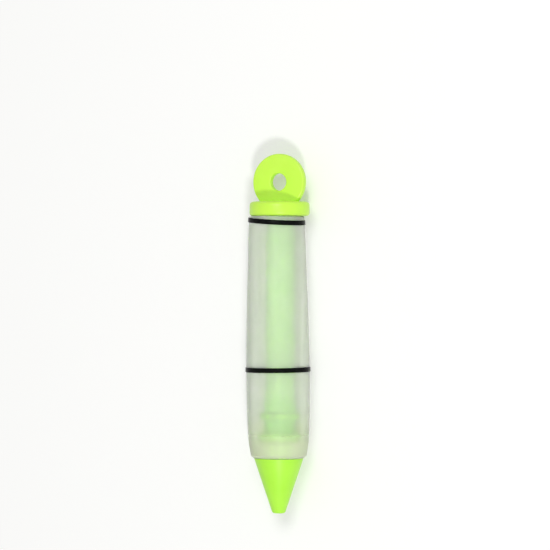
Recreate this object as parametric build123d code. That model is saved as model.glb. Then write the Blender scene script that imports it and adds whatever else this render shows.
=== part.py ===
from build123d import *
import os

# A decorating syringe, in millimetres. It lies along Y, with its handle towards +Y and its nozzle
# towards -Y. While the pieces are made, the plunger's axis is the Y axis and Y is zero at the
# barrel's open end. place() then lays the whole syringe on Z zero.

# Barrel: a soft tube that swells towards the nozzle, with a wall across its lower end. Its open end
# is the narrowest, where the upper band draws it in.
barrel_length = 105.4
barrel_top_d = 24.0
barrel_top_wall = 2.6
# How much wider than its top the barrel is further down, and at its foot.
neck_swell = 0.85
shoulder_swell = 1.6
middle_swell = 3.45
belly_swell = 3.55
lower_swell = 2.3
foot_swell = 0.2
# How far down the barrel those places lie, down to the lower one.
neck_share = 0.07
shoulder_share = 0.2
middle_share = 0.52
belly_share = 0.76
lower_share = 0.925
barrel_lip_round = 0.5
foot_chamfer_width = 1.3
foot_chamfer_height = 0.9
foot_wall = 7.0
mouth_d = 14.0
mouth_draft_deg = 2.5
# The soft barrel doesn't stand true on the plunger: its foot, with the nozzle, is off to one side,
# and it leans further off, so that its open end is off by more.
foot_offset = 0.4
top_offset = 1.45

# Nozzle: a cone with a tapered plug that pushes into the barrel's mouth.
nozzle_length = 24.0
nozzle_base_d = 21.6
nozzle_tip_d = 5.5
nozzle_tip_round = 0.8
nozzle_base_round = 0.3
nozzle_wall = 1.6
pocket_depth = 7.0
outlet_d = 2.5
outlet_land = 3.0
plug_relief = 0.6

# Handle: a flat hanging disc that grows out of a thick thumb flange.
flange_d = 26.2
flange_height = 6.2
flange_top_round = 1.6
flange_foot_round = 1.2
disc_d = 24.6
disc_thickness = 3.2
disc_sink = 3.7
disc_round = 0.8
hang_hole_d = 7.5
hang_hole_round = 0.5
core_depth = 3.4
core_wall = 1.4

# Plunger rod: a round rod that widens to a cone above the piston and ends in a headed pin.
rod_d = 10.4
rod_spigot_d = 6.0
rod_spigot_length = 4.5
flare_d = 14.2
flare_length = 12.0
pin_d = 7.0
pin_head_height = 2.4

# Piston: a soft plug with two lips and a waist, stretched over the pin's head.
rear_lip_height = 2.6
waist_length = 6.1
front_lip_height = 3.5
rear_lip_inset = 0.4
lip_round = 0.5
waist_depth = 2.3
waist_wall = 2.15
piston_tip_length = 5.0
piston_tip_draft_deg = 18.0

# Elastic bands round the barrel.
band_width = 2.1
band_thickness = 0.35
band_round = 0.15
upper_band_drop = 2.15
upper_band_slant_deg = -4.6
upper_band_pitch_deg = 2.0
lower_band_drop = 66.8
lower_band_slant_deg = -0.25
lower_band_pitch_deg = 0.7

# Clearances between pieces, and the spare length from which the barrel is cut level.
seat_gap = 0.1
band_clearance = 0.05
lip_clearance = 0.1
plug_clearance = 0.1
pin_clearance = 0.05
piston_rest_gap = 0.5
tip_clearance = 0.9
end_spare = 0.4

# Sizes and places that more than one piece takes, worked out from the sizes above.
barrel_belly_d = barrel_top_d + belly_swell
barrel_foot_d = barrel_top_d + foot_swell
barrel_bore_d = barrel_top_d - 2 * barrel_top_wall
front_lip_r = barrel_bore_d / 2 - lip_clearance
waist_r = front_lip_r - waist_depth
pin_cavity_r = waist_r - waist_wall
pin_head_r = pin_cavity_r - pin_clearance
foot_y = -barrel_length
bore_end_y = foot_y + foot_wall
nozzle_base_y = foot_y - seat_gap
nozzle_tip_y = nozzle_base_y - nozzle_length
plug_end_y = bore_end_y - plug_relief
flange_foot_y = seat_gap
flange_top_y = flange_foot_y + flange_height
disc_y = flange_top_y + disc_d / 2 - disc_sink
piston_face_y = bore_end_y + piston_rest_gap
waist_low_y = piston_face_y + front_lip_height
waist_high_y = waist_low_y + waist_length
piston_back_y = waist_high_y + rear_lip_height
flare_y = piston_back_y + seat_gap
pin_end_y = waist_low_y - pin_head_height / 2


def turned(*outline):
    """Turn a closed outline of radii and heights about the Y axis."""
    return revolve(make_face(Polyline(*outline, close=True)), Axis.Y)


def circles_by_size(shape):
    """The round edges of a shape in groups of one radius, the smallest first."""
    return shape.edges().filter_by(GeomType.CIRCLE).group_by(SortBy.RADIUS)


def mouth_radius(y):
    """The radius of the barrel's tapered mouth at a height, widest at the barrel's foot."""
    return mouth_d / 2 - (y - foot_y) * tan_of(mouth_draft_deg)


def tan_of(degrees):
    """The rise of a slope of so many degrees, for a run of one."""
    rise = Vector(1, 0).rotate(Axis.Z, degrees)
    return rise.Y / rise.X


def passage_radius():
    """The radius of the bore through the nozzle's plug."""
    return mouth_radius(plug_end_y) - plug_clearance - nozzle_wall


def funnel_radius(y):
    """The inside radius of the nozzle at a height between its base and its outlet."""
    run = nozzle_length - outlet_land
    return passage_radius() - (nozzle_base_y - y) * (passage_radius() - outlet_d / 2) / run


def cone_radius(y):
    """The outside radius of the nozzle at a height."""
    run = nozzle_base_y - y
    return nozzle_base_d / 2 - run * (nozzle_base_d - nozzle_tip_d) / 2 / nozzle_length


def barrel_side(gap=0):
    """The line of the barrel's side, or one that runs so far outside it, down to the chamfer."""
    return Spline(
        (barrel_top_d / 2 + gap, 0),
        ((barrel_top_d + neck_swell) / 2 + gap, foot_y * neck_share),
        ((barrel_top_d + shoulder_swell) / 2 + gap, foot_y * shoulder_share),
        ((barrel_top_d + middle_swell) / 2 + gap, foot_y * middle_share),
        (barrel_belly_d / 2 + gap, foot_y * belly_share),
        ((barrel_top_d + lower_swell) / 2 + gap, foot_y * lower_share),
        (barrel_foot_d / 2 + gap, foot_y + foot_chamfer_height),
    )


def leaning():
    """The barrel's own frame, which stands on its foot and leans there."""
    foot = Plane((-foot_offset, foot_y, 0), x_dir=(barrel_length, top_offset - foot_offset, 0))
    return foot.location * Pos(0, -foot_y, 0)


def barrel_form(gap=0):
    """The barrel's outside as a solid, or one with so much room round it for a band. It is made a
    little too long and then cut level at both ends, because it leans."""
    side = barrel_side(gap)
    top = side @ 0 - (side % 0) * end_spare
    chamfer_slope = foot_chamfer_width / foot_chamfer_height
    end_radius = barrel_foot_d / 2 - foot_chamfer_width - end_spare * chamfer_slope
    ends = Polyline(
        side @ 1, (end_radius, foot_y - end_spare), (0, foot_y - end_spare), (0, top.Y), top,
        side @ 0,
    )
    level = Pos(0, foot_y / 2, 0) * Box(2 * barrel_belly_d, barrel_length, 2 * barrel_belly_d)
    return leaning() * revolve(make_face([side, ends]), Axis.Y) & level


def make_barrel():
    """The soft tube, with a straight bore and a tapered mouth for the nozzle."""
    bore = turned(
        (0, 0), (barrel_bore_d / 2, 0), (barrel_bore_d / 2, bore_end_y), (0, bore_end_y)
    )
    mouth = turned(
        (0, bore_end_y),
        (mouth_radius(bore_end_y), bore_end_y),
        (mouth_radius(foot_y), foot_y),
        (0, foot_y),
    )
    tube = barrel_form() - bore - Pos(-foot_offset, 0, 0) * mouth
    rims = tube.faces().sort_by(Axis.Y)[-1].edges()
    return fillet(rims, barrel_lip_round)


def make_nozzle():
    """The cone, its hollow plug, and the ring pocket that keeps the cone's wall even."""
    pocket_y = nozzle_base_y - pocket_depth
    plug_foot_r = mouth_radius(foot_y) - plug_clearance
    cone = turned((0, nozzle_base_y), (nozzle_base_d / 2, nozzle_base_y),
                  (nozzle_tip_d / 2, nozzle_tip_y), (0, nozzle_tip_y))
    cone = fillet(circles_by_size(cone)[0], nozzle_tip_round)
    cone = fillet(circles_by_size(cone)[-1], nozzle_base_round)
    plug = turned((0, plug_end_y), (mouth_radius(plug_end_y) - plug_clearance, plug_end_y),
                  (plug_foot_r, foot_y), (plug_foot_r, nozzle_base_y), (0, nozzle_base_y))
    passage = turned(
        (0, plug_end_y),
        (passage_radius(), plug_end_y),
        (passage_radius(), nozzle_base_y),
        (outlet_d / 2, nozzle_tip_y + outlet_land),
        (outlet_d / 2, nozzle_tip_y),
        (0, nozzle_tip_y),
    )
    pocket = turned(
        (plug_foot_r, nozzle_base_y),
        (cone_radius(nozzle_base_y) - nozzle_wall, nozzle_base_y),
        (cone_radius(pocket_y) - nozzle_wall, pocket_y),
        (funnel_radius(pocket_y) + nozzle_wall, pocket_y),
    )
    return Pos(-foot_offset, 0, 0) * (cone + plug - passage - pocket)


def make_handle():
    """The hanging disc and thumb flange, one moulding. Below, the flange has a socket for the rod
    and is hollowed in a ring that keeps its wall even."""
    flange = Pos(0, flange_foot_y + flange_height / 2, 0) * Rot(90, 0, 0) * Cylinder(
        flange_d / 2, flange_height
    )
    rims = flange.edges().sort_by(Axis.Y)
    flange = fillet(rims[-1], flange_top_round)
    flange = fillet(flange.edges().sort_by(Axis.Y)[0], flange_foot_round)
    disc = Cylinder(disc_d / 2, disc_thickness) - Cylinder(hang_hole_d / 2, disc_thickness)
    disc = fillet(circles_by_size(disc)[0], hang_hole_round)
    disc = fillet(circles_by_size(disc)[-1], disc_round)
    socket_depth = rod_spigot_length + seat_gap
    socket = Pos(0, flange_foot_y + socket_depth / 2, 0) * Rot(90, 0, 0) * Cylinder(
        rod_spigot_d / 2, socket_depth
    )
    core_y = flange_foot_y + core_depth
    hub_radius = rod_d / 2 + core_wall
    seat_radius = barrel_bore_d / 2 - lip_clearance
    core = turned(
        (hub_radius, flange_foot_y),
        (seat_radius, flange_foot_y),
        (seat_radius, core_y),
        (hub_radius, core_y),
    )
    return flange + Pos(0, disc_y, 0) * disc - socket - core


def make_plunger_rod():
    """The rod from the handle's socket down to the headed pin inside the piston."""
    return turned(
        (0, flange_foot_y + rod_spigot_length),
        (rod_spigot_d / 2, flange_foot_y + rod_spigot_length),
        (rod_spigot_d / 2, flange_foot_y),
        (rod_d / 2, flange_foot_y),
        (rod_d / 2, flare_y + flare_length),
        (flare_d / 2, flare_y),
        (pin_d / 2, flare_y),
        (pin_d / 2, pin_end_y + pin_head_height),
        (pin_head_r, pin_end_y + pin_head_height),
        (pin_d / 2, pin_end_y),
        (0, pin_end_y),
    )


def make_piston():
    """The soft plug: two lips that wipe the bore, a waist, and a tip that enters the nozzle."""
    rear_r = front_lip_r - rear_lip_inset
    tip_r = passage_radius() - tip_clearance
    tip_y = piston_face_y - piston_tip_length
    plug = turned(
        (0, piston_back_y), (rear_r, piston_back_y), (rear_r, waist_high_y),
        (waist_r, waist_high_y), (waist_r, waist_low_y), (front_lip_r, waist_low_y),
        (front_lip_r, piston_face_y), (tip_r, piston_face_y),
        (tip_r - piston_tip_length * tan_of(piston_tip_draft_deg), tip_y), (0, tip_y),
    )
    rims = circles_by_size(plug)
    plug = fillet(rims[-1] + rims[-2], lip_round)
    pin_r = pin_d / 2 + pin_clearance
    head_y = pin_end_y + pin_head_height + seat_gap
    cavity = turned(
        (0, piston_back_y),
        (pin_r, piston_back_y),
        (pin_r, head_y),
        (pin_cavity_r, head_y),
        (pin_cavity_r, pin_end_y - seat_gap),
        (0, pin_end_y - seat_gap),
    )
    return plug - cavity


def make_band(drop, slant, pitch):
    """An elastic band that hugs the barrel so far below its open end, tilted by two angles. It is
    the part of an even layer on the barrel that lies within a tilted slab."""
    reach = 2 * barrel_belly_d
    slab = leaning() * Pos(0, -drop, 0) * Rot(pitch, 0, slant) * Box(reach, band_width, reach)
    layer = barrel_form(band_clearance + band_thickness) - barrel_form(band_clearance)
    band = slab & layer
    outside = band.faces().sort_by(SortBy.AREA)[-1]
    return fillet(outside.edges().sort_by(SortBy.LENGTH)[-2:], band_round)


def place(pieces):
    """Move the pieces together so that the syringe lies on Z zero, centred in X and Y."""
    box = Compound(list(pieces.values())).bounding_box()
    shift = Pos(-box.center().X, -box.center().Y, -box.min.Z)
    return {name: shift * piece for name, piece in pieces.items()}


pieces = place({
    "barrel": make_barrel(),
    "nozzle": make_nozzle(),
    "handle": make_handle(),
    "plunger_rod": make_plunger_rod(),
    "piston": make_piston(),
    "upper_band": make_band(upper_band_drop, upper_band_slant_deg, upper_band_pitch_deg),
    "lower_band": make_band(lower_band_drop, lower_band_slant_deg, lower_band_pitch_deg),
})

os.makedirs("parts", exist_ok=True)
for name, piece in pieces.items():
    export_step(piece, f"parts/{name}.step")
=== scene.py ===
"""The looks of a decorating syringe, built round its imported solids.

Sizes are in millimetres, as on a drawing, and turn to metres where a mesh is made. The syringe lies
along Y, with its nozzle towards -Y.
"""

import logging
import math
from collections.abc import Mapping, Sequence
from dataclasses import dataclass, field, replace
from enum import Enum

import bmesh
import bpy
from mathutils import Matrix, Vector
from mathutils.geometry import interpolate_bezier


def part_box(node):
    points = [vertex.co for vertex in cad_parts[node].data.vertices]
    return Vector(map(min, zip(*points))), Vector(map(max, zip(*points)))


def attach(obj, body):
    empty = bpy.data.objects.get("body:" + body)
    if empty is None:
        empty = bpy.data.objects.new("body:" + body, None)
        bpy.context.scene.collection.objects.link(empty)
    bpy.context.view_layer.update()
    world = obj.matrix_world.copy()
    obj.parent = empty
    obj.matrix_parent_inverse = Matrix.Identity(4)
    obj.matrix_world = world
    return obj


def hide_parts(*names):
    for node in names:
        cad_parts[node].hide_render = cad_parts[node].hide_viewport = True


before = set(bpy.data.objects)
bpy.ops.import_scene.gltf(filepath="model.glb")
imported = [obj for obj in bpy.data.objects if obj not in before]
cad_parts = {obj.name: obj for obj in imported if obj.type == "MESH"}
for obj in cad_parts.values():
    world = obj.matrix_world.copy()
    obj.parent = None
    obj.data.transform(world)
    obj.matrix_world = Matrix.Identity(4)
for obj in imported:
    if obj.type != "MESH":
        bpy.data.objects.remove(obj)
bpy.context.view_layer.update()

MM = 0.001
FULL_TURN = 2 * math.pi
ACROSS = Vector((1, 0, 0))
ALONG = Vector((0, 1, 0))
UP = Vector((0, 0, 1))
# How close two vertices of a turned or joined mesh lie before they become one.
WELD = MM / 1000
# A noise pattern's grey values nearly all lie between these two.
NOISE_DARK = 0.3
NOISE_BRIGHT = 0.7
NOISE_DETAIL = 3.0
NOISE_ROUGHNESS = 0.55

log = logging.getLogger("syringe")


class Slot(Enum):
    """The record's material slots."""

    SILICONE = "frosted_silicone"
    ELASTIC = "black_elastic"
    LIME = "lime_plastic"
    SOFT_LIME = "lime_soft_plastic"


class Hue(Enum):
    """Colours as sRGB hex values."""

    LIME = "#cbfb50"
    LIME_DEEP = "#c5f846"
    # Painted shade: the cone is the handle's lime plastic, painted darker and greener for the lesser light
    # that falls on it.
    CONE_SHADED_LIME = "#b5f846"
    CONE_SHADED_LIME_DEEP = "#aff43c"
    ROD_LIME = "#b4f66e"
    ROD_LIME_DEEP = "#adf264"
    LIP_LIME = "#b4f650"
    LIP_LIME_DEEP = "#aef246"
    # Painted shade: the piston's waist is painted darker and greener than its lips, for the shade in the
    # recess between them.
    WAIST_PAINTED_SHADE = "#97e26c"
    SILICONE = "#eef4e6"
    SILICONE_HAZE = "#e7efde"
    SILICONE_FOOT = "#e6f0ce"
    ELASTIC = "#050606"
    ELASTIC_WORN = "#101211"
    PAPER = "#f4f4f2"
    LAMP = "#ffffff"


def linear(hue: Hue) -> tuple[float, float, float, float]:
    """Turn an sRGB hex value to the linear colour that a shader wants.

    Args:
        hue: The colour.

    Returns:
        Red, green, blue and an alpha of 1.
    """
    text = hue.value.lstrip("#")
    shares = [int(text[i : i + 2], 16) / 255 for i in (0, 2, 4)]
    red, green, blue = (s / 12.92 if s <= 0.04045 else ((s + 0.055) / 1.055) ** 2.4 for s in shares)
    return red, green, blue, 1.0


def per_metre(size_mm: float) -> float:
    """Give the texture scale at which one cell of a pattern measures so many millimetres."""
    return 1 / (size_mm * MM)


def add_node(
    tree: bpy.types.NodeTree,
    kind: str,
    settings: Mapping[str, object] | None = None,
    inputs: Mapping[str | int, object] | None = None,
) -> bpy.types.Node:
    """Add one node to a tree.

    Args:
        tree: The tree that gets the node.
        kind: The node's type name.
        settings: Properties of the node and their values.
        inputs: Inputs by name or place, each with a value or an output socket to link from.

    Returns:
        The new node.
    """
    node = tree.nodes.new(kind)
    for name, value in (settings or {}).items():
        setattr(node, name, value)
    for name, value in (inputs or {}).items():
        if isinstance(value, bpy.types.NodeSocket):
            tree.links.new(value, node.inputs[name])
        else:
            node.inputs[name].default_value = value
    return node


def new_material(name: str) -> tuple[bpy.types.Material, bpy.types.NodeTree]:
    """Make an empty material.

    Args:
        name: The material's name.

    Returns:
        The material and its node tree, with no nodes.
    """
    material = bpy.data.materials.new(name)
    material.use_nodes = True
    material.node_tree.nodes.clear()
    return material, material.node_tree


def noise(tree: bpy.types.NodeTree, place: bpy.types.NodeSocket, size_mm: float) -> bpy.types.NodeSocket:
    """Add a soft noise pattern.

    Args:
        tree: The tree that gets the pattern.
        place: The coordinates that it follows.
        size_mm: The size of one cell of it.

    Returns:
        The pattern's grey value.
    """
    inputs = {
        "Vector": place,
        "Scale": per_metre(size_mm),
        "Detail": NOISE_DETAIL,
        "Roughness": NOISE_ROUGHNESS,
    }
    return add_node(tree, "ShaderNodeTexNoise", inputs=inputs).outputs["Fac"]


def spread(
    tree: bpy.types.NodeTree, grey: bpy.types.NodeSocket, low: float, high: float
) -> bpy.types.NodeSocket:
    """Stretch a noise pattern's middle range to run between two values.

    Args:
        tree: The tree that gets the node.
        grey: The pattern.
        low: The value where the pattern is darkest.
        high: The value where it is brightest.

    Returns:
        The stretched value.
    """
    inputs = {
        "Value": grey,
        "From Min": NOISE_DARK,
        "From Max": NOISE_BRIGHT,
        "To Min": low,
        "To Max": high,
    }
    return add_node(tree, "ShaderNodeMapRange", inputs=inputs).outputs["Result"]


def within(
    tree: bpy.types.NodeTree, place: bpy.types.NodeSocket, point: Vector, width_mm: float
) -> bpy.types.NodeSocket:
    """Tell what lies near a line that runs along Y from what lies farther out.

    Args:
        tree: The tree that gets the nodes.
        place: The object's own coordinates.
        point: A point on the line, in metres.
        width_mm: The width across the line that counts as near.

    Returns:
        1 where it is near and 0 elsewhere.
    """
    offset = add_node(tree, "ShaderNodeVectorMath", {"operation": "SUBTRACT"}, {0: place, 1: point})
    across = add_node(
        tree,
        "ShaderNodeVectorMath",
        {"operation": "MULTIPLY"},
        {0: offset.outputs["Vector"], 1: (1.0, 0.0, 1.0)},
    )
    radius = add_node(tree, "ShaderNodeVectorMath", {"operation": "LENGTH"}, {0: across.outputs["Vector"]})
    near = add_node(
        tree,
        "ShaderNodeMath",
        {"operation": "LESS_THAN"},
        {0: radius.outputs["Value"], 1: width_mm / 2 * MM},
    )
    return near.outputs["Value"]


def meets_background(tree: bpy.types.NodeTree) -> bpy.types.NodeSocket:
    """Tell the rays that meet the pale background from those that only carry light.

    Args:
        tree: The tree that gets the nodes.

    Returns:
        1 for the camera's own rays and those that are mirrored or let through, and 0 for the rest.
    """
    path = add_node(tree, "ShaderNodeLightPath")
    seen = path.outputs["Is Camera Ray"]
    for kind in ("Is Glossy Ray", "Is Transmission Ray"):
        either = {0: seen, 1: path.outputs[kind]}
        seen = add_node(tree, "ShaderNodeMath", {"operation": "MAXIMUM"}, either).outputs["Value"]
    return seen


@dataclass(frozen=True)
class PaintedRecessShade:
    """A deeper part of a moulding, painted a darker colour: painted shade, standing in for the shade that
    the parts round it cast into it.
    """

    point: Vector
    width_mm: float
    hue: Hue


@dataclass(frozen=True)
class MouldedPlastic:
    """Polypropylene, injection moulded against a finely spark-eroded steel mould.

    The eye gets a bright, slightly waxy colour with a broad soft highlight, because the mould's fine
    texture breaks it up, and a little light that gets in at thin edges and comes out again.
    """

    name: str
    light: Hue
    deep: Hue
    roughness: float = 0.36
    roughness_span: float = 0.06
    flow_mm: float = 14.0
    texture_mm: float = 0.35
    texture_height_mm: float = 0.012
    glow: float = 0.12
    glow_mm: tuple[float, float, float] = (1.2, 1.6, 0.4)
    ior: float = 1.49
    recess_shade: PaintedRecessShade | None = None

    def material(self) -> bpy.types.Material:
        """Build the plastic's shader."""
        made, tree = new_material(self.name)
        place = add_node(tree, "ShaderNodeTexCoord").outputs["Object"]
        flow = noise(tree, place, self.flow_mm)
        grain = noise(tree, place, self.texture_mm)
        tint = add_node(
            tree,
            "ShaderNodeMix",
            {"data_type": "RGBA"},
            {"Factor": spread(tree, flow, 0.0, 1.0), 6: linear(self.light), 7: linear(self.deep)},
        )
        # Painted shade: inside the recess the colour gives way to a darker one.
        if self.recess_shade:
            tint = add_node(
                tree,
                "ShaderNodeMix",
                {"data_type": "RGBA"},
                {
                    "Factor": within(tree, place, self.recess_shade.point, self.recess_shade.width_mm),
                    6: tint.outputs[2],
                    7: linear(self.recess_shade.hue),
                },
            )
        bump = add_node(
            tree,
            "ShaderNodeBump",
            inputs={"Height": grain, "Distance": self.texture_height_mm * MM, "Strength": 1.0},
        )
        low, high = self.roughness - self.roughness_span, self.roughness + self.roughness_span
        shader = add_node(
            tree,
            "ShaderNodeBsdfPrincipled",
            {"subsurface_method": "RANDOM_WALK"},
            {
                "Base Color": tint.outputs[2],
                "Roughness": spread(tree, grain, low, high),
                "IOR": self.ior,
                "Subsurface Weight": self.glow,
                "Subsurface Radius": self.glow_mm,
                "Subsurface Scale": MM,
                "Normal": bump.outputs["Normal"],
            },
        )
        add_node(tree, "ShaderNodeOutputMaterial", inputs={"Surface": shader.outputs["BSDF"]})
        return made


@dataclass(frozen=True)
class FrostedSilicone:
    """Clear silicone rubber with a milky tint, moulded in a sand-blasted mould.

    Light gets through it but is scattered at both skins, so the eye sees what is inside only as soft
    shapes, sharper the nearer they lie to the wall, under a matt, faintly hazy surface. Round the
    piston, whose grease wets the bore, the wall is clearer, and the thick foot has a duller skin and
    a deeper tint. Through two frosted skins a lamp's light would reach the inside only by chance, so
    a share of it, lets_in, passes straight through.
    """

    bore_point: Vector
    bore_d: float
    foot_y: float
    name: str = "frosted silicone rubber"
    through: float = 0.52
    wetted_through: float = 0.6
    foot_through: float = 0.32
    foot_roughness: float = 0.55
    foot_blend_mm: tuple[float, float] = (4.5, 12.5)
    wetted_blend_mm: tuple[float, float] = (19.0, 31.0)
    tint_blend_mm: tuple[float, float] = (5.0, 25.0)
    bore_margin: float = 0.2
    bore_through: float = 1.0
    bore_roughness: float = 0.15
    roughness: float = 0.2
    roughness_span: float = 0.04
    gleam: float = 0.1
    bloom: float = 0.35
    bloom_roughness: float = 0.5
    lets_in: float = 0.33
    milk: float = 1.0
    milk_mm: tuple[float, float, float] = (3.0, 3.2, 2.6)
    haze_mm: float = 9.0
    blast_mm: float = 0.3
    blast_height_mm: float = 0.006
    ior: float = 1.41

    def material(self) -> bpy.types.Material:
        """Build the silicone's shader."""
        made, tree = new_material(self.name)
        place = add_node(tree, "ShaderNodeTexCoord").outputs["Object"]
        haze = noise(tree, place, self.haze_mm)
        blast = noise(tree, place, self.blast_mm)
        tint = add_node(
            tree,
            "ShaderNodeMix",
            {"data_type": "RGBA"},
            {
                "Factor": spread(tree, haze, 0.0, 1.0),
                6: linear(Hue.SILICONE),
                7: linear(Hue.SILICONE_HAZE),
            },
        )
        thinness = self.up_from_foot(tree, place, self.tint_blend_mm, 0.0, 1.0)
        tint = add_node(
            tree,
            "ShaderNodeMix",
            {"data_type": "RGBA"},
            {"Factor": thinness, 6: linear(Hue.SILICONE_FOOT), 7: tint.outputs[2]},
        )
        bump = add_node(
            tree,
            "ShaderNodeBump",
            inputs={"Height": blast, "Distance": self.blast_height_mm * MM, "Strength": 1.0},
        )
        low, high = self.roughness - self.roughness_span, self.roughness + self.roughness_span
        bored = within(tree, place, self.bore_point, self.bore_d + self.bore_margin)
        blasted = spread(tree, blast, low, high)
        skin = self.up_from_foot(tree, place, self.foot_blend_mm, self.foot_roughness, blasted)
        rough = add_node(
            tree,
            "ShaderNodeMix",
            {"data_type": "FLOAT"},
            {"Factor": bored, 2: skin, 3: self.bore_roughness},
        )
        upper = self.up_from_foot(tree, place, self.wetted_blend_mm, self.wetted_through, self.through)
        clearness = self.up_from_foot(tree, place, self.foot_blend_mm, self.foot_through, upper)
        through = add_node(
            tree,
            "ShaderNodeMix",
            {"data_type": "FLOAT"},
            {"Factor": bored, 2: clearness, 3: self.bore_through},
        )
        path = add_node(tree, "ShaderNodeLightPath")
        solid = add_node(
            tree,
            "ShaderNodeMapRange",
            inputs={"Value": path.outputs["Is Shadow Ray"], "To Min": 1.0, "To Max": 1.0 - self.lets_in},
        )
        shader = add_node(
            tree,
            "ShaderNodeBsdfPrincipled",
            {"subsurface_method": "RANDOM_WALK"},
            {
                "Alpha": solid.outputs["Result"],
                "Base Color": tint.outputs[2],
                "Roughness": rough.outputs[0],
                "IOR": self.ior,
                "Specular IOR Level": self.gleam,
                "Coat Weight": self.bloom,
                "Coat Roughness": self.bloom_roughness,
                "Coat IOR": self.ior,
                "Transmission Weight": through.outputs[0],
                "Subsurface Weight": self.milk,
                "Subsurface Radius": self.milk_mm,
                "Subsurface Scale": MM,
                "Normal": bump.outputs["Normal"],
            },
        )
        add_node(tree, "ShaderNodeOutputMaterial", inputs={"Surface": shader.outputs["BSDF"]})
        return made

    def up_from_foot(
        self,
        tree: bpy.types.NodeTree,
        place: bpy.types.NodeSocket,
        blend_mm: tuple[float, float],
        at_foot: float,
        above: float | bpy.types.NodeSocket,
    ) -> bpy.types.NodeSocket:
        """Blend a value softly between two heights above the foot.

        Args:
            tree: The tree that gets the nodes.
            place: The object's own coordinates.
            blend_mm: The heights at which the blend starts and ends.
            at_foot: The value at the foot.
            above: The value above the blend.

        Returns:
            The blended value.
        """
        along = add_node(tree, "ShaderNodeSeparateXYZ", inputs={"Vector": place}).outputs["Y"]
        low, high = (self.foot_y + height * MM for height in blend_mm)
        inputs = {"Value": along, "From Min": low, "From Max": high, "To Min": at_foot, "To Max": above}
        soft = {"interpolation_type": "SMOOTHSTEP"}
        return add_node(tree, "ShaderNodeMapRange", soft, inputs).outputs["Result"]


@dataclass(frozen=True)
class ElasticRubber:
    """Black elastic, extruded as a flat band with a smooth skin.

    It is nearly black. Its skin mirrors the lamps only faintly, and a little grey dust lies along it.
    """

    name: str = "black elastic"
    roughness: float = 0.26
    roughness_span: float = 0.06
    gleam: float = 0.06
    dust_mm: float = 1.6
    ior: float = 1.4

    def material(self) -> bpy.types.Material:
        """Build the elastic's shader."""
        made, tree = new_material(self.name)
        place = add_node(tree, "ShaderNodeTexCoord").outputs["Object"]
        dust = noise(tree, place, self.dust_mm)
        tint = add_node(
            tree,
            "ShaderNodeMix",
            {"data_type": "RGBA"},
            {
                "Factor": spread(tree, dust, 0.0, 1.0),
                6: linear(Hue.ELASTIC),
                7: linear(Hue.ELASTIC_WORN),
            },
        )
        low, high = self.roughness - self.roughness_span, self.roughness + self.roughness_span
        shader = add_node(
            tree,
            "ShaderNodeBsdfPrincipled",
            inputs={
                "Base Color": tint.outputs[2],
                "Roughness": spread(tree, dust, low, high),
                "IOR": self.ior,
                "Specular IOR Level": self.gleam,
            },
        )
        add_node(tree, "ShaderNodeOutputMaterial", inputs={"Surface": shader.outputs["BSDF"]})
        return made


@dataclass(frozen=True)
class Corner:
    """One corner of a turned outline: its radius, its height, and how far it is rounded back."""

    radius: float
    height: float
    rounded: float = 0.0


@dataclass(frozen=True)
class Turning:
    """How an outline is turned: the axis, a point on it that heights count from, and the steps.

    radial is the direction in which the outline is drawn before it turns.
    """

    origin: Vector
    axis: Vector
    radial: Vector
    steps: int = 160
    corner_steps: int = 5

    def mesh(self, outline: Sequence[Corner], closed: bool) -> bmesh.types.BMesh:
        """Turn an outline a full circle.

        Args:
            outline: The corners, in order.
            closed: Whether the last corner joins the first, as on a ring. Otherwise both lie on the
                axis.

        Returns:
            A closed mesh with its faces outwards, in metres.
        """
        shape = bmesh.new()
        spots = [self.origin + (self.radial * c.radius + self.axis * c.height) * MM for c in outline]
        points = [shape.verts.new(spot) for spot in spots]
        pairs = list(zip(points, points[1:]))
        if closed:
            pairs.append((points[-1], points[0]))
        for pair in pairs:
            shape.edges.new(pair)
        for point, corner in zip(points, outline):
            if corner.rounded:
                bmesh.ops.bevel(
                    shape,
                    geom=[point],
                    offset=corner.rounded * MM,
                    offset_type="OFFSET",
                    segments=self.corner_steps,
                    profile=0.5,
                    affect="VERTICES",
                    material=-1,
                )
        bmesh.ops.spin(
            shape,
            geom=shape.verts[:] + shape.edges[:],
            cent=self.origin,
            axis=self.axis,
            angle=FULL_TURN,
            steps=self.steps,
            use_merge=True,
        )
        bmesh.ops.remove_doubles(shape, verts=shape.verts, dist=WELD)
        bmesh.ops.recalc_face_normals(shape, faces=shape.faces)
        return shape


def centre_of(node: str) -> Vector:
    """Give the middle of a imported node's box, in metres."""
    low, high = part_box(node)
    return (low + high) / 2


def finish_piece(name: str, shape: bmesh.types.BMesh, sharp_deg: float = 40.0) -> bpy.types.Object:
    """Make an object of a mesh, shaded smooth except at its sharp edges.

    Args:
        name: The piece's name.
        shape: The mesh, which is freed.
        sharp_deg: The angle between faces from which an edge stays sharp.

    Returns:
        The object, in the scene.
    """
    for edge in shape.edges:
        if len(edge.link_faces) == 2 and edge.calc_face_angle() > math.radians(sharp_deg):
            edge.smooth = False
    for face in shape.faces:
        face.smooth = True
    mesh = bpy.data.meshes.new(name)
    shape.to_mesh(mesh)
    shape.free()
    piece = bpy.data.objects.new(name, mesh)
    bpy.context.scene.collection.objects.link(piece)
    return piece


def settle(piece: bpy.types.Object, material: bpy.types.Material, body: str, node: str) -> None:
    """Dress a piece and put it in its node's stead.

    Args:
        piece: The piece.
        material: Its finish.
        body: The moving body that it rides on.
        node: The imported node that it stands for.
    """
    piece.data.materials.append(material)
    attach(piece, body)
    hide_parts(node)
    log.info("%s: %d faces, rides on %s", piece.name, len(piece.data.polygons), body)


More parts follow.
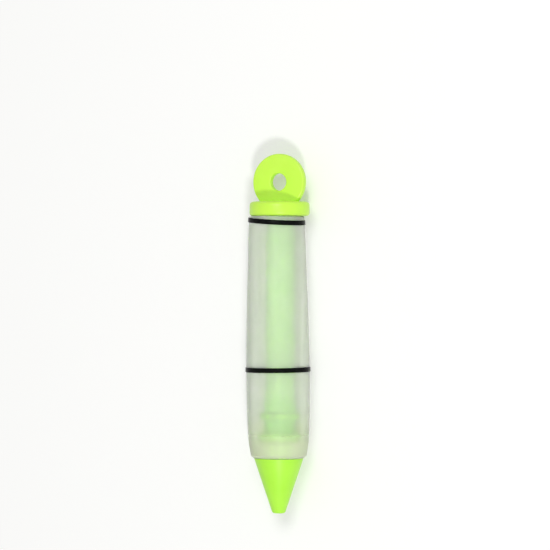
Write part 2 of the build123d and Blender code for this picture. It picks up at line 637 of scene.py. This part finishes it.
@dataclass
class Barrel:
    """The soft tube, which swells towards its foot, with a wall and a tapered mouth at the foot.

    Its bore is turned about the plunger's axis. Its outside stands a little off that axis and leans,
    because so soft a tube doesn't stand true on the plunger.
    """

    top_d: float = 24.0
    neck_d: float = 24.85
    shoulder_d: float = 25.6
    middle_d: float = 27.45
    belly_d: float = 27.55
    lower_d: float = 26.3
    foot_d: float = 24.2
    neck_share: float = 0.07
    shoulder_share: float = 0.2
    middle_share: float = 0.52
    belly_share: float = 0.76
    lower_share: float = 0.925
    bore_d: float = 18.8
    foot_wall: float = 7.0
    mouth_d: float = 14.0
    mouth_draft_deg: float = 2.5
    foot_offset: float = 0.4
    top_offset: float = 1.45
    lip_round: float = 0.5
    chamfer_width: float = 1.3
    chamfer_height: float = 0.9
    rings_per_span: int = 14

    def __post_init__(self) -> None:
        """Read the barrel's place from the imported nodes."""
        low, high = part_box("barrel")
        plunger = centre_of("handle")
        self.length = (high.y - low.y) / MM
        self.bore_point = Vector((plunger.x, high.y, plunger.z))
        self.lean = math.atan2(self.top_offset - self.foot_offset, self.length)

    def stations(self) -> list[Vector]:
        """List the side's widths as points of radius and height, from the open end down."""
        places = (
            (self.top_d, 0.0),
            (self.neck_d, self.neck_share),
            (self.shoulder_d, self.shoulder_share),
            (self.middle_d, self.middle_share),
            (self.belly_d, self.belly_share),
            (self.lower_d, self.lower_share),
        )
        foot = Vector((self.foot_d / 2, self.chamfer_height - self.length))
        return [Vector((width / 2, -share * self.length)) for width, share in places] + [foot]

    def side(self) -> list[Vector]:
        """Draw a smooth line through the stations.

        Returns:
            Points of radius and height, from the open end to the foot's chamfer.
        """
        knots = self.stations()
        slopes = []
        for i, knot in enumerate(knots):
            before, after = knots[max(i - 1, 0)], knots[min(i + 1, len(knots) - 1)]
            slopes.append((after.x - before.x) / (after.y - before.y))
        line = []
        for (a, b), (slope_a, slope_b) in zip(zip(knots, knots[1:]), zip(slopes, slopes[1:])):
            third = (b.y - a.y) / 3
            first = a + Vector((slope_a, 1)) * third
            second = b - Vector((slope_b, 1)) * third
            line += interpolate_bezier(a, first, second, b, self.rings_per_span)[:-1]
        return line + [knots[-1]]

    def radius_at(self, drop: float) -> float:
        """Give the outside radius so far below the open end."""
        line = self.side()
        for above, below in zip(line, line[1:]):
            if below.y <= -drop <= above.y:
                share = (above.y + drop) / (above.y - below.y)
                return above.x + (below.x - above.x) * share
        return line[-1].x

    def centre_at(self, drop: float) -> Vector:
        """Give the middle of the outside so far below the open end, in metres."""
        offset = self.foot_offset + math.tan(self.lean) * (self.length - drop)
        return self.bore_point - ALONG * drop * MM - ACROSS * offset * MM

    def build(self, material: bpy.types.Material) -> bpy.types.Object:
        """Turn the tube in one closed outline, then set its outside off the bore's axis."""
        foot = -self.length
        wall = foot + self.foot_wall
        taper = math.tan(math.radians(self.mouth_draft_deg)) * self.foot_wall
        outline = [
            Corner(self.bore_d / 2, 0, self.lip_round),
            Corner(self.top_d / 2, 0, self.lip_round),
            *(Corner(point.x, point.y) for point in self.side()[1:]),
            Corner(self.foot_d / 2 - self.chamfer_width, foot),
            Corner(self.mouth_d / 2, foot),
            Corner(self.mouth_d / 2 - taper, wall),
            Corner(self.bore_d / 2, wall),
        ]
        shape = Turning(self.bore_point, ALONG, ACROSS).mesh(outline, closed=True)
        self.set_off(shape)
        piece = finish_piece("soft_barrel", shape)
        settle(piece, material, "barrel", "barrel")
        return piece

    def set_off(self, shape: bmesh.types.BMesh) -> None:
        """Move the outside and the mouth of the turned tube off the bore's axis.

        The rounded edge of the bore stays with it, so the limits lie clear of that edge.

        Args:
            shape: The tube, whose bore stays where it is.
        """
        near = self.bore_d / 2 - self.lip_round / 2
        far = self.bore_d / 2 + self.lip_round * 3 / 2
        for vert in shape.verts:
            radius = (vert.co - self.bore_point).cross(ALONG).length / MM
            if radius > far:
                drop = (self.bore_point.y - vert.co.y) / MM
                vert.co.x += self.centre_at(drop).x - self.bore_point.x
            elif radius < near:
                vert.co.x -= self.foot_offset * MM
        shape.normal_update()


@dataclass
class Band:
    """An elastic band round the barrel."""

    name: str
    node: str
    drop: float
    slant_deg: float
    pitch_deg: float
    width: float = 2.1
    thickness: float = 0.36
    crown: float = 0.28

    def build(self, barrel: Barrel, material: bpy.types.Material) -> bpy.types.Object:
        """Turn the band's section about the barrel, tilt it, and draw it in until it hugs the barrel.

        Args:
            barrel: The barrel that it grips.
            material: Its finish.

        Returns:
            The band.
        """
        grip = barrel.radius_at(self.drop)
        half = self.width / 2
        centre = barrel.centre_at(self.drop)
        turning = Turning(centre, ALONG, ACROSS)
        outline = [
            Corner(grip, -half),
            Corner(grip + self.thickness, -half, self.crown),
            Corner(grip + self.thickness, half, self.crown),
            Corner(grip, half),
        ]
        shape = turning.mesh(outline, closed=True)
        heights = [(vert.co - centre).cross(ALONG).length / MM - grip for vert in shape.verts]
        tilt = Matrix.Rotation(barrel.lean, 3, "Z")
        tilt = tilt @ Matrix.Rotation(math.radians(self.pitch_deg), 3, "X")
        tilt = tilt @ Matrix.Rotation(math.radians(self.slant_deg), 3, "Z")
        bmesh.ops.rotate(shape, verts=shape.verts, cent=centre, matrix=tilt)
        for vert, height in zip(shape.verts, heights):
            drop = (barrel.bore_point.y - vert.co.y) / MM
            middle = barrel.centre_at(drop)
            outwards = (vert.co - middle).normalized()
            vert.co = middle + outwards * (barrel.radius_at(drop) + height) * MM
        shape.normal_update()
        piece = finish_piece(self.name, shape)
        settle(piece, material, "barrel", self.node)
        return piece


@dataclass
class Nozzle:
    """The cone with its tapered plug, hollow from end to end."""

    length: float = 24.0
    base_d: float = 21.6
    tip_d: float = 5.5
    tip_round: float = 0.8
    base_round: float = 0.08
    wall: float = 1.6
    pocket_depth: float = 7.0
    outlet_d: float = 2.5
    outlet_land: float = 3.0
    plug_clearance: float = 0.1
    edge_round: float = 0.25

    def build(self, barrel: Barrel, material: bpy.types.Material) -> bpy.types.Object:
        """Turn the nozzle's outline about the barrel's mouth.

        Args:
            barrel: The barrel whose mouth it plugs.
            material: Its finish.

        Returns:
            The nozzle.
        """
        low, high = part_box("nozzle")
        axis_point = centre_of("nozzle")
        base = Vector((axis_point.x, low.y + self.length * MM, axis_point.z))
        draft = math.tan(math.radians(barrel.mouth_draft_deg))
        plug_length = (high.y - base.y) / MM
        plug_foot = barrel.mouth_d / 2 - self.plug_clearance
        plug_end = plug_foot - draft * plug_length
        passage = plug_end - self.wall
        run = self.length - self.outlet_land
        funnel = passage - self.pocket_depth * (passage - self.outlet_d / 2) / run
        cone = self.base_d / 2 - self.pocket_depth * (self.base_d - self.tip_d) / 2 / self.length
        outline = [
            Corner(passage, plug_length, self.edge_round),
            Corner(plug_end, plug_length, self.edge_round),
            Corner(plug_foot, 0),
            Corner(funnel + self.wall, -self.pocket_depth),
            Corner(cone - self.wall, -self.pocket_depth),
            Corner(self.base_d / 2 - self.wall, 0),
            Corner(self.base_d / 2, 0, self.base_round),
            Corner(self.tip_d / 2, -self.length, self.tip_round),
            Corner(self.outlet_d / 2, -self.length),
            Corner(self.outlet_d / 2, -run),
            Corner(passage, 0),
        ]
        shape = Turning(base, ALONG, ACROSS).mesh(outline, closed=True)
        piece = finish_piece("cone_nozzle", shape, sharp_deg=30.0)
        settle(piece, material, "nozzle", "nozzle")
        return piece


@dataclass
class Handle:
    """The hanging disc on its thumb flange, one moulding."""

    flange_d: float = 26.2
    flange_height: float = 6.2
    flange_top_round: float = 1.6
    flange_foot_round: float = 1.2
    disc_d: float = 24.6
    disc_thickness: float = 3.2
    disc_round: float = 0.8
    hole_d: float = 7.5
    hole_round: float = 0.5
    core_depth: float = 3.4
    hub_d: float = 13.2
    seat_d: float = 18.6
    socket_d: float = 6.0
    socket_depth: float = 4.6
    disc_root: float = 5.1

    def build(self, material: bpy.types.Material) -> bpy.types.Object:
        """Turn the flange and the disc, and join them into one skin."""
        low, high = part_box("handle")
        middle = centre_of("handle")
        foot = Vector((middle.x, low.y, middle.z))
        flange_outline = [
            Corner(0, self.flange_height),
            Corner(self.flange_d / 2, self.flange_height, self.flange_top_round),
            Corner(self.flange_d / 2, 0, self.flange_foot_round),
            Corner(self.seat_d / 2, 0),
            Corner(self.seat_d / 2, self.core_depth),
            Corner(self.hub_d / 2, self.core_depth),
            Corner(self.hub_d / 2, 0),
            Corner(self.socket_d / 2, 0),
            Corner(self.socket_d / 2, self.socket_depth),
            Corner(0, self.socket_depth),
        ]
        flange = Turning(foot, ALONG, ACROSS).mesh(flange_outline, closed=False)
        half = self.disc_thickness / 2
        hub = Vector((middle.x, high.y - self.disc_d / 2 * MM, middle.z))
        disc_outline = [
            Corner(self.hole_d / 2, -half, self.hole_round),
            Corner(self.disc_d / 2, -half, self.disc_round),
            Corner(self.disc_d / 2, half, self.disc_round),
            Corner(self.hole_d / 2, half, self.hole_round),
        ]
        disc = Turning(hub, UP, ACROSS).mesh(disc_outline, closed=True)
        self.trim_root(disc, foot + ALONG * self.disc_root * MM)
        piece = join_solids("round_handle", finish_piece("flange", flange), finish_piece("disc", disc))
        settle(piece, material, "plunger", "handle")
        return piece

    def trim_root(self, disc: bmesh.types.BMesh, level: Vector) -> None:
        """Cut the disc off flat inside the flange, above the rod's socket.

        Args:
            disc: The disc's mesh.
            level: A point on the cut.
        """
        bmesh.ops.bisect_plane(
            disc,
            geom=disc.verts[:] + disc.edges[:] + disc.faces[:],
            plane_co=level,
            plane_no=ALONG,
            clear_inner=True,
        )
        bmesh.ops.holes_fill(disc, edges=[e for e in disc.edges if e.is_boundary])
        bmesh.ops.recalc_face_normals(disc, faces=disc.faces)


def join_solids(name: str, base: bpy.types.Object, other: bpy.types.Object) -> bpy.types.Object:
    """Join two closed solids into one skin.

    Args:
        name: The name of the result.
        base: One solid, which is used up.
        other: The other, which is used up.

    Returns:
        The joined piece, shaded smooth except at its sharp edges.
    """
    union = base.modifiers.new("union", "BOOLEAN")
    union.operation = "UNION"
    union.solver = "EXACT"
    union.object = other
    shown = base.evaluated_get(bpy.context.evaluated_depsgraph_get())
    shape = bmesh.new()
    shape.from_mesh(shown.to_mesh())
    shown.to_mesh_clear()
    for used in (base, other):
        mesh = used.data
        bpy.data.objects.remove(used)
        bpy.data.meshes.remove(mesh)
    bmesh.ops.remove_doubles(shape, verts=shape.verts, dist=WELD)
    for edge in shape.edges:
        edge.smooth = True
    return finish_piece(name, shape, sharp_deg=30.0)


@dataclass
class Plunger:
    """The rod with its flare and headed pin, and the soft piston on it.

    The rod is drawn as wide as it looks through the barrel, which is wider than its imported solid.
    """

    rod_d: float = 13.0
    spigot_d: float = 6.0
    spigot_length: float = 4.5
    flare_d: float = 14.2
    flare_length: float = 12.0
    flare_round_share: float = 0.25
    pin_d: float = 7.0
    pin_head_d: float = 9.6
    pin_head_height: float = 2.4
    rear_lip_d: float = 17.8
    front_lip_d: float = 18.6
    waist_length: float = 6.1
    front_lip_height: float = 3.5
    waist_d: float = 14.0
    lip_round: float = 0.5
    tip_length: float = 5.0
    tip_d: float = 8.24
    tip_draft_deg: float = 18.0
    gap: float = 0.1
    pin_clearance: float = 0.05
    edge_round: float = 0.4

    def build_rod(self, material: bpy.types.Material) -> bpy.types.Object:
        """Turn the rod, from the spigot in the handle to the pin's head in the piston."""
        low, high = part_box("plunger_rod")
        middle = centre_of("plunger_rod")
        pin_end = Vector((middle.x, low.y, middle.z))
        length = (high.y - low.y) / MM
        piston_back = (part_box("piston")[1].y - low.y) / MM
        flare = piston_back + self.gap
        flare_round = self.flare_length * self.flare_round_share
        outline = [
            Corner(0, length),
            Corner(self.spigot_d / 2, length, self.edge_round),
            Corner(self.spigot_d / 2, length - self.spigot_length),
            Corner(self.rod_d / 2, length - self.spigot_length),
            Corner(self.rod_d / 2, flare + self.flare_length, flare_round),
            Corner(self.flare_d / 2, flare, self.edge_round),
            Corner(self.pin_d / 2, flare),
            Corner(self.pin_d / 2, self.pin_head_height),
            Corner(self.pin_head_d / 2, self.pin_head_height),
            Corner(self.pin_d / 2, 0, self.edge_round),
            Corner(0, 0),
        ]
        shape = Turning(pin_end, ALONG, ACROSS).mesh(outline, closed=False)
        piece = finish_piece("rod", shape)
        settle(piece, material, "plunger", "plunger_rod")
        return piece

    def build_piston(self, material: bpy.types.Material) -> bpy.types.Object:
        """Turn the piston, with its two lips, its waist, its tip and the pin's cavity."""
        low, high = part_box("piston")
        middle = centre_of("piston")
        tip = Vector((middle.x, low.y, middle.z))
        back = (high.y - low.y) / MM
        face = self.tip_length
        waist_low = face + self.front_lip_height
        waist_high = waist_low + self.waist_length
        tip_end = self.tip_d / 2 - self.tip_length * math.tan(math.radians(self.tip_draft_deg))
        pin_end = waist_low - self.pin_head_height / 2
        head = pin_end + self.pin_head_height + self.gap
        pin_radius = self.pin_d / 2 + self.pin_clearance
        head_radius = self.pin_head_d / 2 + self.pin_clearance
        outline = [
            Corner(0, pin_end - self.gap),
            Corner(head_radius, pin_end - self.gap),
            Corner(head_radius, head),
            Corner(pin_radius, head),
            Corner(pin_radius, back),
            Corner(self.rear_lip_d / 2, back, self.lip_round),
            Corner(self.rear_lip_d / 2, waist_high, self.lip_round),
            Corner(self.waist_d / 2, waist_high, self.lip_round),
            Corner(self.waist_d / 2, waist_low, self.lip_round),
            Corner(self.front_lip_d / 2, waist_low, self.lip_round),
            Corner(self.front_lip_d / 2, face, self.lip_round),
            Corner(self.tip_d / 2, face, self.lip_round),
            Corner(tip_end, 0, self.lip_round),
            Corner(0, 0),
        ]
        shape = Turning(tip, ALONG, ACROSS).mesh(outline, closed=False)
        piece = finish_piece("soft_piston", shape)
        settle(piece, material, "piston", "piston")
        return piece


@dataclass(frozen=True)
class Lamp:
    """A square lamp that shines on the syringe.

    towards is the direction from the syringe to the lamp, in the picture's right, up and back. level is
    how bright it makes a white card that faces it, where 1 is white.
    """

    name: str
    towards: Vector
    far_mm: float
    size_mm: float
    level: float


@dataclass
class Studio:
    """The pale table, the lamps and the camera.

    The camera looks down at the syringe, turned to one side of upright about the syringe's length, as
    the photograph does. Its picture's middle lies above the syringe's middle.
    """

    turn_deg: float = 25.5
    distance_mm: float = 1260.0
    picture_mm: float = 239.8
    sensor_mm: float = 36.0
    aim_right_mm: float = -2.0
    aim_up_mm: float = 25.5
    table_mm: float = 6000.0
    table_glow: float = 1.5
    table_glow_share: float = 0.16
    fibre_mm: float = 0.8
    fibre_height_mm: float = 0.01
    sky: float = 0.44
    lamps: tuple[Lamp, ...] = (
        Lamp("low_key", Vector((0.04, -0.42, 1.0)), far_mm=1500.0, size_mm=180.0, level=0.36),
        Lamp("high_fill", Vector((-0.2, 0.4, 1.05)), far_mm=1300.0, size_mm=500.0, level=0.32),
    )

    def __post_init__(self) -> None:
        """Work out the picture's directions."""
        turn = math.radians(self.turn_deg)
        self.back = Vector((math.sin(turn), 0, math.cos(turn)))
        self.right = Vector((math.cos(turn), 0, -math.sin(turn)))
        handle = centre_of("handle")
        aim = Vector((handle.x, 0, handle.z)) + self.right * self.aim_right_mm * MM
        self.aim = aim + ALONG * self.aim_up_mm * MM

    def place_camera(self) -> None:
        """Make the camera and set it as the scene's."""
        data = bpy.data.cameras.new("camera")
        data.sensor_width = self.sensor_mm
        data.lens = self.sensor_mm * self.distance_mm / self.picture_mm
        camera = bpy.data.objects.new("camera", data)
        camera.location = self.aim + self.back * self.distance_mm * MM
        camera.rotation_mode = "QUATERNION"
        camera.rotation_quaternion = Matrix((self.right, ALONG, self.back)).transposed().to_quaternion()
        bpy.context.scene.collection.objects.link(camera)
        bpy.context.scene.camera = camera

    def hang(self, lamp: Lamp) -> None:
        """Hang a lamp so that it faces the syringe."""
        towards = lamp.towards
        way = (self.right * towards.x + ALONG * towards.y + self.back * towards.z).normalized()
        data = bpy.data.lights.new(lamp.name, "AREA")
        data.size = lamp.size_mm * MM
        data.energy = lamp.level * math.pi**2 * (lamp.far_mm * MM) ** 2
        hung = bpy.data.objects.new(lamp.name, data)
        hung.location = self.aim + way * lamp.far_mm * MM
        hung.rotation_mode = "QUATERNION"
        hung.rotation_quaternion = way.to_track_quat("Z", "Y")
        bpy.context.scene.collection.objects.link(hung)

    def light(self) -> None:
        """Hang the lamps and fill the room with even light."""
        for lamp in self.lamps:
            self.hang(lamp)
        world = bpy.data.worlds.new("room")
        world.use_nodes = True
        tree = world.node_tree
        tree.nodes.clear()
        level = add_node(
            tree,
            "ShaderNodeMapRange",
            inputs={"Value": meets_background(tree), "To Min": self.sky, "To Max": 1.0},
        )
        background = add_node(
            tree,
            "ShaderNodeBackground",
            inputs={"Color": linear(Hue.LAMP), "Strength": level.outputs["Result"]},
        )
        add_node(tree, "ShaderNodeOutputWorld", inputs={"Surface": background.outputs["Background"]})
        bpy.context.scene.world = world

    def lay_table(self) -> None:
        """Lay the pale table under the syringe. From below it can't be seen."""
        shape = bmesh.new()
        bmesh.ops.create_grid(shape, x_segments=1, y_segments=1, size=self.table_mm * MM / 2)
        table = finish_piece("table", shape)
        material, tree = new_material("pale paper")
        place = add_node(tree, "ShaderNodeTexCoord").outputs["Object"]
        fibres = noise(tree, place, self.fibre_mm)
        bump = add_node(
            tree, "ShaderNodeBump", inputs={"Height": fibres, "Distance": self.fibre_height_mm * MM}
        )
        paper = add_node(
            tree,
            "ShaderNodeBsdfDiffuse",
            inputs={"Color": linear(Hue.PAPER), "Normal": bump.outputs["Normal"]},
        )
        shine = add_node(
            tree, "ShaderNodeEmission", inputs={"Color": linear(Hue.LAMP), "Strength": self.table_glow}
        )
        seen = add_node(
            tree,
            "ShaderNodeMath",
            {"operation": "MULTIPLY"},
            {0: meets_background(tree), 1: self.table_glow_share},
        )
        lit = add_node(
            tree,
            "ShaderNodeMixShader",
            inputs={0: seen.outputs["Value"], 1: paper.outputs["BSDF"], 2: shine.outputs["Emission"]},
        )
        clear = add_node(tree, "ShaderNodeBsdfTransparent")
        below = add_node(tree, "ShaderNodeNewGeometry").outputs["Backfacing"]
        sided = add_node(
            tree,
            "ShaderNodeMixShader",
            inputs={0: below, 1: lit.outputs["Shader"], 2: clear.outputs["BSDF"]},
        )
        add_node(tree, "ShaderNodeOutputMaterial", inputs={"Surface": sided.outputs["Shader"]})
        table.data.materials.append(material)

    def build(self) -> None:
        """Set up the whole studio."""
        self.place_camera()
        self.light()
        self.lay_table()
        bpy.context.scene.view_settings.view_transform = "Standard"


@dataclass
class Syringe:
    """The whole syringe, sub-assembly by sub-assembly."""

    barrel: Barrel = field(default_factory=Barrel)
    nozzle: Nozzle = field(default_factory=Nozzle)
    handle: Handle = field(default_factory=Handle)
    plunger: Plunger = field(default_factory=Plunger)
    bands: tuple[Band, ...] = (
        Band("band_under_flange", "upper_band", drop=2.15, slant_deg=-4.6, pitch_deg=2.0),
        Band("band_round_belly", "lower_band", drop=66.8, slant_deg=-0.25, pitch_deg=0.7),
    )

    def build(self) -> None:
        """Make and dress every piece."""
        lime = MouldedPlastic("lime polypropylene", Hue.LIME, Hue.LIME_DEEP)
        # The cone gets a darker, greener copy of the same plastic: painted shade, since the cone gets less
        # light than the disc.
        cone_shaded_lime = replace(
            lime, name="cone's lime polypropylene", light=Hue.CONE_SHADED_LIME, deep=Hue.CONE_SHADED_LIME_DEEP
        )
        rod_lime = replace(lime, name="rod's lime polypropylene", light=Hue.ROD_LIME, deep=Hue.ROD_LIME_DEEP)
        # The piston's waist gets a darker green, painted shade for the recess between the lips.
        waist_edge = (self.plunger.waist_d + self.plunger.rear_lip_d) / 2
        waist = PaintedRecessShade(centre_of("piston"), waist_edge, Hue.WAIST_PAINTED_SHADE)
        soft = MouldedPlastic(
            "soft lime rubber", Hue.LIP_LIME, Hue.LIP_LIME_DEEP, roughness=0.5, recess_shade=waist
        )
        elastic = ElasticRubber().material()
        self.handle.build(lime.material())
        self.plunger.build_rod(rod_lime.material())
        self.plunger.build_piston(soft.material())
        self.nozzle.build(self.barrel, cone_shaded_lime.material())
        foot_y = self.barrel.bore_point.y - self.barrel.length * MM
        silicone = FrostedSilicone(self.barrel.bore_point, self.barrel.bore_d, foot_y)
        self.barrel.build(silicone.material())
        for band in self.bands:
            band.build(self.barrel, elastic)


def main() -> None:
    """Build the studio and the syringe, and report each piece."""
    logging.basicConfig(level=logging.INFO, format="%(name)s: %(message)s")
    Studio().build()
    Syringe().build()


if __name__ == "__main__":
    main()
